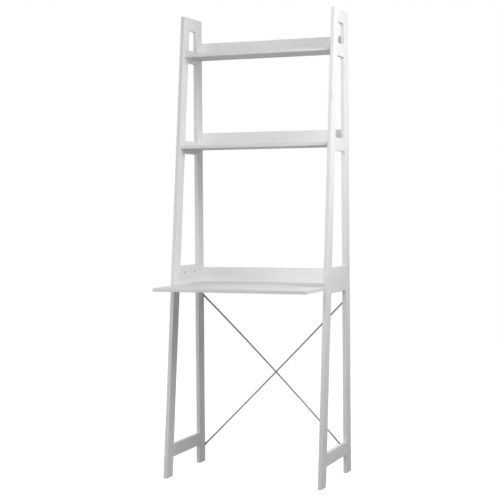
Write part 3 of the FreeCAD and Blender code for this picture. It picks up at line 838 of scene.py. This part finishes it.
@dataclass
class SideFrame:
    """One side frame: an upper ladder on a lower leg frame, of flat lacquered wood."""

    shop: Workshop
    side: str
    edge_radius: float = 2.0 * MM
    butt_radius: float = 0.3 * MM
    rim: float = 2.6 * MM
    steps: int = 4
    hole_clearance: float = 0.1 * MM
    bore_start: float = 1.0 * MM  # outside the face
    nut_slot_width: float = 1.6 * MM
    nut_slot_depth: float = 1.5 * MM
    nut_slot_reach: float = 2.4  # its length, in radii of the nut
    bolt_head_height: float = 3.4 * MM
    bolt_shank_radius: float = 3.0 * MM
    socket_across_corners: float = 4.6 * MM
    socket_depth: float = 2.2 * MM

    @property
    def stile_width(self) -> float:
        """Width of a stile, seen from the side."""
        low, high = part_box(f"{self.side}_rear_leg")
        return high.y - low.y

    @property
    def lean(self) -> float:
        """How far the front goes back for each metre up."""
        low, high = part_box(f"{self.side}_front_leg")
        return (high.y - self.stile_width - low.y) / (high.z - low.z)

    def build(self) -> None:
        """Make the posts, the rails and the fittings of this side."""
        for member in (
            "upper_front_stile", "upper_rear_stile", "front_leg", "rear_leg", "top_rail",
            "upper_shelf_rail", "middle_shelf_rail", "stretcher",
        ):
            self.make_member(member)
        self.make_base_rail()
        self.make_desk_rail()
        for dowels in ("upper_frame_dowels", "lower_frame_dowels", "split_dowels"):
            self.shop.dress(f"{self.side}_{dowels}", Finish.BEECH)

    def make_member(self, name: str, **bores: Any) -> None:
        """Make a post, or a rail whose front end follows the leaning stile.

        Args:
            name: the member's name, without its side.
            bores: fields of the bar that say what is bored into it.
        """
        node = f"{self.side}_{name}"
        low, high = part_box(node)
        is_rail = name.endswith(("rail", "stretcher"))
        if not is_rail:
            high.y = low.y + self.stile_width
        edge, butt = self.edge_radius, self.butt_radius
        ends = butt if is_rail else edge
        below, above = (butt if name in joined else edge for joined in (STANDING, CARRYING))
        bar = Bar(
            node, Finish.RAIL_WOOD if is_rail else Finish.POST_WOOD, low, high, (edge, ends, below),
            (edge, ends, above), self.rim, self.steps, self.shop.tone(),
            lean=self.lean if is_rail or "front" in name else 0.0, taper=float(is_rail),
            slot="lacquered_wood", **bores,
        )
        self.shop.put(bar, self.shop.bar, bar.mouths)

    def make_base_rail(self) -> None:
        """Make the upper base rail, and the slotted nuts that lie in its inner face."""
        node = f"{self.side}_barrel_nuts"
        low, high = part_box(node)
        rail_low, rail_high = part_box(f"{self.side}_upper_base_rail")
        if self.side == "left":
            face, mouth, deepest, inward = rail_high.x, high.x, low.x, Vector((1.0, 0.0, 0.0))
        else:
            face, mouth, deepest, inward = rail_low.x, low.x, high.x, Vector((-1.0, 0.0, 0.0))
        places = [(y, 0.5 * (low.z + high.z)) for y in middles(node, 1)]
        radius, length, turn = 0.5 * (high.z - low.z), high.x - low.x, inward.x * QUARTER_TURN
        bore = radius + self.hole_clearance
        self.make_member(
            "upper_base_rail", bore_mouth=bore, bore_end=bore, bore_turn=(0.0, -turn, 0.0),
            mouths=[Vector((face, *place)) + inward * self.bore_start for place in places],
            bore_depth=abs(deepest - face) + self.bore_start + self.hole_clearance,
        )
        nuts = Fastener(
            node, (0.0, turn, 0.0), radius, radius, length, seed=3, dome=0.02,
            recess=Recess.SLOT.value, recess_length=self.nut_slot_reach * radius,
            recess_width=self.nut_slot_width, recess_depth=self.nut_slot_depth, spin=0.12,
        )
        seats = [Vector((mouth, *place)) + inward * -length for place in places]
        self.shop.put(nuts, self.shop.fastener, seats)

    def make_desk_rail(self) -> None:
        """Make the desk rail, and the socket-head bolts that stand up from its underside."""
        node = f"{self.side}_frame_bolts"
        low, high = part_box(node)
        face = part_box(f"{self.side}_desk_rail")[0].z
        places = [(middles(node, 0)[0], y) for y in middles(node, 1)]
        radius, head = half_breadth(node, 1), self.bolt_head_height
        bore = radius + 2 * self.hole_clearance
        self.make_member(
            "desk_rail", mouths=[Vector((*place, face - self.bore_start)) for place in places],
            bore_mouth=bore, bore_end=bore, bore_depth=low.z + head - face + self.bore_start,
        )
        bolts = Fastener(
            node, (math.pi, 0.0, 0.0), radius, radius, head, seed=5, dome=0.06,
            shank_radius=self.bolt_shank_radius, shank_length=high.z - low.z - head,
            recess=Recess.HEXAGON.value, recess_length=self.socket_across_corners,
            recess_depth=self.socket_depth, spin=0.5,
        )
        self.shop.put(bolts, self.shop.fastener, [Vector((*place, low.z + head)) for place in places])


# --- boards ------------------------------------------------------------------
@dataclass
class BoardUnit:
    """A lacquered board between the side frames, with its back rail and fittings."""

    shop: Workshop
    board: str
    back_rail: str
    finish: Finish
    edge_radius: float = 1.0 * MM
    butt_radius: float = 0.3 * MM
    rim: float = 2.4 * MM
    steps: int = 3
    hole_clearance: float = 0.1 * MM
    cam_bore_start: float = 1.0 * MM  # outside the face
    countersink_start: float = 0.5 * MM
    cam_recess_length: float = 7.0 * MM
    cam_recess_width: float = 1.5 * MM
    cam_recess_depth: float = 1.6 * MM
    screw_head_height: float = 2.3 * MM
    screw_shank_radius: float = 1.75 * MM

    def build(self) -> None:
        """Make the board and its back rail, with their fittings."""
        self.make_board()
        self.make_back_rail()
        self.shop.dress(f"{self.board}_cam_bolts", Finish.ZINC_PLATE)
        self.shop.dress(f"{self.board}_dowels", Finish.BEECH)

    def make_board(self) -> None:
        """Make the board, and the cams that are set into its underside."""
        node = f"{self.board}_cams"
        low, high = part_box(self.board)
        cam_low, cam_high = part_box(node)
        places = [(x, y) for x in middles(node, 0) for y in middles(node, 1)]
        start, edge, radius = self.cam_bore_start, self.edge_radius, half_breadth(node, 0)
        bore = radius + self.hole_clearance
        board = Bar(
            self.board, self.finish, low, high, (edge, edge, edge), (edge, self.butt_radius, edge),
            self.rim, self.steps, self.shop.tone(), bore_mouth=bore, bore_end=bore,
            mouths=[Vector((*place, low.z - start)) for place in places],
            bore_depth=cam_high.z - low.z + start + self.hole_clearance,
        )
        self.shop.put(board, self.shop.bar, board.mouths)
        cams = Fastener(
            node, (math.pi, 0.0, 0.0), radius, radius, cam_high.z - cam_low.z, seed=11, dome=0.02,
            recess_length=self.cam_recess_length, recess_width=self.cam_recess_width,
            recess_depth=self.cam_recess_depth, spin=0.35, finish=Finish.CAST_ZINC, coat="cast",
            slot="cam_zinc",
        )
        self.shop.put(cams, self.shop.fastener, [Vector((*place, cam_high.z)) for place in places])

    def make_back_rail(self) -> None:
        """Make the rail along the board's back edge, and its countersunk screws."""
        node = f"{self.back_rail}_screws"
        low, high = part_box(self.back_rail)
        screw_low, screw_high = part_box(node)
        places = [(x, 0.5 * (screw_low.z + screw_high.z)) for x in middles(node, 0)]
        radius = 0.5 * (screw_high.z - screw_low.z)
        start, shank, head = self.countersink_start, self.screw_shank_radius, self.screw_head_height
        mouth = radius + self.hole_clearance
        eases = (self.butt_radius, self.edge_radius, self.edge_radius)
        rail = Bar(
            self.back_rail, Finish.BACK_RAIL, low, high, eases, eases, self.rim, self.steps,
            self.shop.tone(), mouths=[Vector((x, high.y + start, z)) for x, z in places],
            bore_mouth=mouth + (mouth - shank) / head * start, bore_end=shank,
            bore_depth=head + start, bore_turn=(QUARTER_TURN, 0.0, 0.0),
        )
        self.shop.put(rail, self.shop.bar, rail.mouths)
        seat = screw_high.y - head
        screws = Fastener(
            node, (-QUARTER_TURN, 0.0, 0.0), shank, radius, head, seed=17, shank_radius=shank,
            shank_length=seat - screw_low.y,
        )
        self.shop.put(screws, self.shop.fastener, [Vector((x, seat, z)) for x, z in places])


# --- crossed rods ------------------------------------------------------------
@dataclass
class Brace:
    """The two crossed rods behind the legs, and the screws that hold their eyes."""

    shop: Workshop
    rod_radius: float = 3.5 * MM
    eye_radius: float = 6.5 * MM
    eye_thickness: float = 2.4 * MM
    hole_radius: float = 2.3 * MM
    hole_reach: float = 4.0  # its cutter's length, in thicknesses of the eye
    tab_half_width: float = 4.75 * MM
    tab_length: float = 8.0 * MM
    taper_length: float = 12.0 * MM
    flat_power: float = 0.45
    stations_along: int = 200
    end_crowding: float = 0.9
    screw_head_height: float = 2.7 * MM
    screw_shank_radius: float = 2.0 * MM

    def eyes(self) -> dict[str, tuple[Vector, Vector]]:
        """Find the eyes of both rods, on the back of the legs.

        Returns:
            For each rod's node, the middles of its eyes, from left to right.
        """
        low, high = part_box("falling_brace_rod")
        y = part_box("left_rear_leg")[1].y
        left, right = (sign * (high.x - self.eye_radius) for sign in (-1.0, 1.0))
        bottom, top = low.z + self.eye_radius, high.z - self.eye_radius
        return {
            "falling_brace_rod": (Vector((left, y, top)), Vector((right, y, bottom))),
            "rising_brace_rod": (Vector((left, y, bottom)), Vector((right, y, top))),
        }

    def build(self) -> None:
        """Make both rods and their screws."""
        for node, (first, last) in self.eyes().items():
            self.make_rod(node, first, last)
        self.make_screws()

    def make_rod(self, node: str, first: Vector, last: Vector) -> None:
        """Make one rod, bent away from the legs, with an eye pressed flat at each end.

        Args:
            node: the rod's construction node.
            first: middle of the first eye, on the back of the leg.
            last: middle of the last eye.
        """
        along = (last - first).normalized()
        up = Vector((0.0, 1.0, 0.0))
        start = first - along * self.eye_radius
        length = (last - first).length + 2 * self.eye_radius
        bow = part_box(node)[1].y - first.y - 2 * self.rod_radius
        half_chord = 0.5 * (last - first).length - self.tab_length - self.taper_length
        bend_radius = 0.5 * (half_chord ** 2 / bow + bow)
        points, sections = [], []
        for index in range(self.stations_along + 1):
            share = index / self.stations_along
            crowded = share - self.end_crowding * math.sin(math.tau * share) / math.tau
            run = length * crowded
            section = self.section(min(run, length - run) - self.eye_radius)
            from_middle = min(abs(run - 0.5 * length), half_chord)
            lift = math.sqrt(bend_radius ** 2 - from_middle ** 2) - (bend_radius - bow)
            points.append(start + along * run + up * (section[1] + lift))
            sections.append(section)
        hole_depth = self.hole_reach * self.eye_thickness
        rod = Rod(node, up.cross(along), first, last, self.hole_radius, hole_depth)
        edges = [(index, index + 1) for index in range(self.stations_along)]
        self.shop.put(rod, self.shop.rod, points, edges, dict(zip(ROD_SECTION, zip(*sections))))

    def section(self, inward: float) -> Triple:
        """Give the rod's section at a distance from its eye.

        Args:
            inward: distance from the middle of the eye, towards the rod's middle.

        Returns:
            Half the width, half the height, and the power that squares the section.
        """
        roundness = smooth_step((inward - self.tab_length) / self.taper_length)
        height = 0.5 * self.eye_thickness + (self.rod_radius - 0.5 * self.eye_thickness) * roundness
        disc = math.sqrt(max(self.eye_radius ** 2 - inward ** 2, 0.0))
        tab = self.tab_half_width + (self.rod_radius - self.tab_half_width) * roundness
        width = max(disc, tab if inward > 0 else 0.0)
        return width, height, self.flat_power + (1.0 - self.flat_power) * roundness

    def make_screws(self) -> None:
        """Make the pan-head screws through the eyes."""
        node = "brace_screws"
        out = Vector((0.0, self.eye_thickness, 0.0))
        seats = [eye + out for pair in self.eyes().values() for eye in pair]
        radius = half_breadth(node, 2)
        screws = Fastener(
            node, (-QUARTER_TURN, 0.0, 0.0), radius, radius, self.screw_head_height, seed=23,
            dome=0.5, shank_radius=self.screw_shank_radius,
            shank_length=seats[0].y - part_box(node)[0].y,
        )
        self.shop.put(screws, self.shop.fastener, seats)


# --- studio ------------------------------------------------------------------
@dataclass(frozen=True)
class Softbox:
    """A square lamp with a soft edge, aimed at a point of the desk."""

    name: str
    centre: Triple
    width: float
    watts: float
    target: Triple = (0.0, 0.0, 0.9)

    def build(self) -> None:
        """Hang the lamp in the scene."""
        lamp = bpy.data.lights.new(self.name, "AREA")
        lamp.size = self.width
        lamp.energy = self.watts
        holder = bpy.data.objects.new(self.name, lamp)
        aim = Vector(self.target) - Vector(self.centre)
        holder.location = self.centre
        holder.rotation_euler = aim.to_track_quat("-Z", "Y").to_euler()
        bpy.context.scene.collection.objects.link(holder)


LAMPS = (
    Softbox("key_softbox", (1.41, -0.81, 2.53), 1.03, 17.2),
    Softbox("side_softbox", (1.42, -0.38, 1.55), 0.77, 10.2),
    Softbox("front_softbox", (0.0, -3.38, 2.13), 1.62, 26.0),
    Softbox("front_left_fill", (-1.8, -3.12, 0.9), 1.62, 18.3),
    Softbox("low_left_fill", (-1.22, -0.85, 0.69), 0.68, 2.9),
    Softbox("back_left_fill", (-2.82, 1.97, 1.95), 1.62, 50.0),
    Softbox("back_right_fill", (1.97, 2.82, 1.95), 1.62, 12.0),
)


def seen_directly(tree: bpy.types.NodeTree) -> bpy.types.Node:
    """Add what tells whether the eye sees something itself, through glass or in a gloss.

    Args:
        tree: the tree of a material or a world.

    Returns:
        A node that gives one where it is seen so, and zero for the light it casts.
    """
    path = add_node(tree, "ShaderNodeLightPath").outputs
    seen = add_node(tree, MATH, "MAXIMUM", [path["Is Camera Ray"], path["Is Transmission Ray"]])
    return add_node(tree, MATH, "MAXIMUM", [seen, path["Is Glossy Ray"]])


@dataclass(frozen=True)
class Studio:
    """A pale floor that runs to white, soft lamps, and a surround that is white to the eye."""

    floor_radius: float = 30.0
    floor_colour: str = "#A6A6A6"
    shadow_floor_glow: float = 0.88
    shadow_radius: float = 0.9
    white_radius: float = 2.0

    def build(self) -> None:
        """Make the surround, the floor and the lamps."""
        self.make_surround()
        self.make_floor()
        for lamp in LAMPS:
            lamp.build()

    def make_surround(self) -> None:
        """Make a world that is white to the eye and to reflections, and casts no light."""
        world = bpy.data.worlds.new("pale_surround")
        bpy.context.scene.world = world
        world.use_nodes = True
        tree = world.node_tree
        tree.nodes.clear()
        colours = {"Color": linear("#FFFFFF"), "Strength": seen_directly(tree)}
        white = add_node(tree, "ShaderNodeBackground", None, colours)
        add_node(tree, "ShaderNodeOutputWorld", None, {"Surface": white})

    def make_floor(self) -> None:
        """Make a floor that is white to the eye but keeps the shadows at the feet."""
        mesh = bpy.data.meshes.new("floor")
        reach = self.floor_radius
        corners = [(-reach, -reach, 0.0), (reach, -reach, 0.0), (reach, reach, 0.0), (-reach, reach, 0.0)]
        mesh.from_pydata(corners, [], [(0, 1, 2, 3)])
        floor = bpy.data.objects.new("floor", mesh)
        bpy.context.scene.collection.objects.link(floor)
        material = bpy.data.materials.new("pale_studio_floor")
        material.use_nodes = True
        tree = material.node_tree
        tree.nodes.clear()
        where = add_node(tree, "ShaderNodeTexCoord")
        away = add_node(tree, VECTOR, "LENGTH", [where.outputs["Object"]])
        glow = add_node(
            tree, MAP_RANGE, {"interpolation_type": "SMOOTHSTEP"},
            [away.outputs["Value"], self.shadow_radius, self.white_radius, self.shadow_floor_glow, 1.0],
        )
        strength = add_node(tree, MATH, "MULTIPLY", [seen_directly(tree), glow])
        matt = add_node(tree, "ShaderNodeBsdfDiffuse", None, {"Color": linear(self.floor_colour)})
        bright = add_node(tree, "ShaderNodeEmission", None, {"Strength": strength})
        both = add_node(tree, "ShaderNodeAddShader", None, [matt, bright])
        add_node(tree, "ShaderNodeOutputMaterial", None, {"Surface": both})
        mesh.materials.append(material)


@dataclass(frozen=True)
class Camera:
    """The view of the desk from its right front, level with the space over the desk."""

    place: Triple = (1.8095, -4.9605, 1.0607)  # Y is from the frames' back
    yaw_degrees: float = 21.046
    pitch_degrees: float = -0.867
    roll_degrees: float = -0.462
    lens_mm: float = 94.59
    sensor_mm: float = 36.0
    shift_down: float = 0.0558

    def build(self) -> None:
        """Make the camera and set it as the scene's own."""
        data = bpy.data.cameras.new("camera")
        data.lens = self.lens_mm
        data.sensor_width = self.sensor_mm
        data.shift_y = -self.shift_down
        camera = bpy.data.objects.new("camera", data)
        camera.matrix_world = (
            Matrix.Translation(Vector(self.place) + Vector((0.0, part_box("left_rear_leg")[1].y, 0.0)))
            @ Matrix.Rotation(math.radians(self.yaw_degrees), 4, "Z")
            @ Matrix.Rotation(math.radians(90.0 + self.pitch_degrees), 4, "X")
            @ Matrix.Rotation(math.radians(self.roll_degrees), 4, "Z")
        )
        bpy.context.scene.collection.objects.link(camera)
        bpy.context.scene.camera = camera


def main() -> None:
    """Build the desk, the studio and the camera."""
    logging.basicConfig(level=logging.INFO, format="%(name)s: %(message)s")
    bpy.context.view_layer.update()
    shop = Workshop()
    for side in ("left", "right"):
        SideFrame(shop, side).build()
    for board, back_rail, finish in (
        ("top_shelf", "top_back_rail", Finish.SHELF),
        ("middle_shelf", "middle_back_rail", Finish.SHELF),
        ("desk_top", "desk_back_rail", Finish.DESK),
    ):
        BoardUnit(shop, board, back_rail, finish).build()
    Brace(shop).build()
    Studio().build()
    Camera().build()
    bpy.context.scene.view_settings.view_transform = "Standard"


if __name__ == "__main__":
    main()
